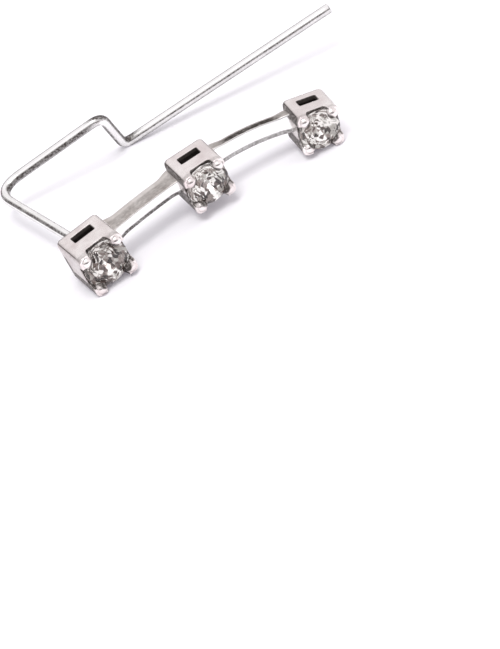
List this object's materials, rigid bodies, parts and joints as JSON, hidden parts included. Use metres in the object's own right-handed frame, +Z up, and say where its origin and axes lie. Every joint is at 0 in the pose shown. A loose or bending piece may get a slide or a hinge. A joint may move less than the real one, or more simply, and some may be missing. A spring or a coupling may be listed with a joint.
{
  "type": "ear cuff",
  "caption": "Ear cuff with a row of square prong collets on short arched bars, each with a round brilliant, and a bent round wire that holds it along the ear's edge.",
  "frame": {"origin": "centre of the lying cuff's outline, on the table it lies on", "axes": "+X along the row of stones, from the largest to the smallest, +Y from the stones towards the ear wire, +Z up from the table"},
  "size_m": [0.0308, 0.0186, 0.0052],
  "materials": {
    "silver": "polished and brushed silver",
    "stone": "faceted and polished"
  },
  "bodies": {
    "root": {"silver_frame": "silver", "stone_1": "stone", "stone_2": "stone", "stone_3": "stone"}
  },
  "joints": []
}
